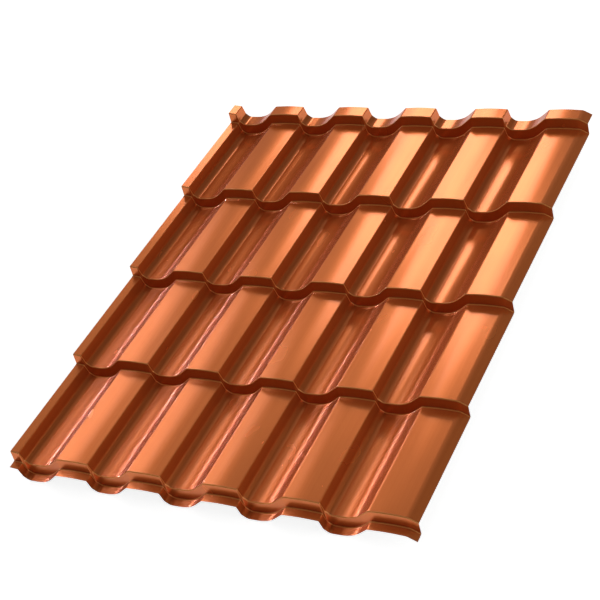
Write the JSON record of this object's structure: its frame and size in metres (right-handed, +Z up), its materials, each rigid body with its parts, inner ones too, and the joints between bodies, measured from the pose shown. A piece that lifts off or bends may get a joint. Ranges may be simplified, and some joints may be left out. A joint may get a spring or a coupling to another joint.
{
  "type": "metal roofing sheet",
  "caption": "Steel roofing sheet pressed to look like tiles: broad crests and round valleys across it, steps along it, cut plain at both ends, with a lip and a side lap.",
  "frame": {"origin": "centre of the sheet's footprint, at the level of its step feet", "axes": "+X across the waves, from the lip to the side lap; +Y up the roof slope, from the front edge to the top edge; +Z up, out of the weather face"},
  "size_m": [1.2, 1.476, 0.0803],
  "materials": {
    "coated_steel": "copper-coloured metallic coating, satin"
  },
  "bodies": {
    "root": {"sheet": "coated_steel"}
  },
  "joints": []
}
